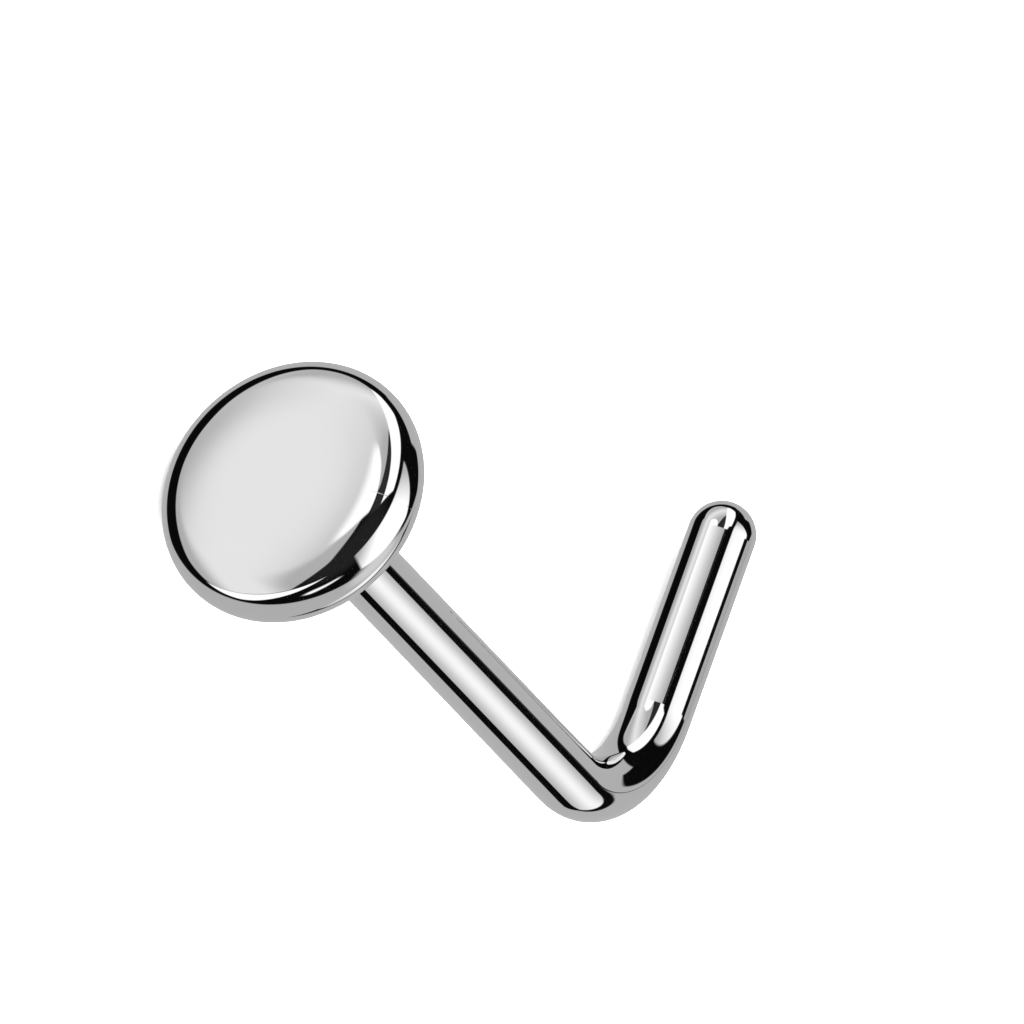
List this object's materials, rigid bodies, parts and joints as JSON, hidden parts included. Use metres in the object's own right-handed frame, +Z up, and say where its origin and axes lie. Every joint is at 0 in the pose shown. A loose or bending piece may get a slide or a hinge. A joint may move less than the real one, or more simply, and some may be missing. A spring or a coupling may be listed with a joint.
{
  "type": "nose stud",
  "caption": "Nose stud with a plain flat disc head on a round wire post, bent to an L, with a ball-round tail tip.",
  "frame": {"origin": "on the table, under the middle of the stud as it lies by itself on the rim of its disc and the outside of its bend", "axes": "+X along the post from the disc to the bend, seen from above; +Y towards the tail's tip, seen from above; +Z up from the table. The post slopes 7.9 degrees down from the disc to the bend, and the tail 2.6 degrees up to its tip"},
  "size_m": [0.01, 0.0058, 0.0032],
  "materials": {
    "polished_steel": "mirror polish"
  },
  "bodies": {
    "root": {"nose_stud": "polished_steel"}
  },
  "joints": []
}
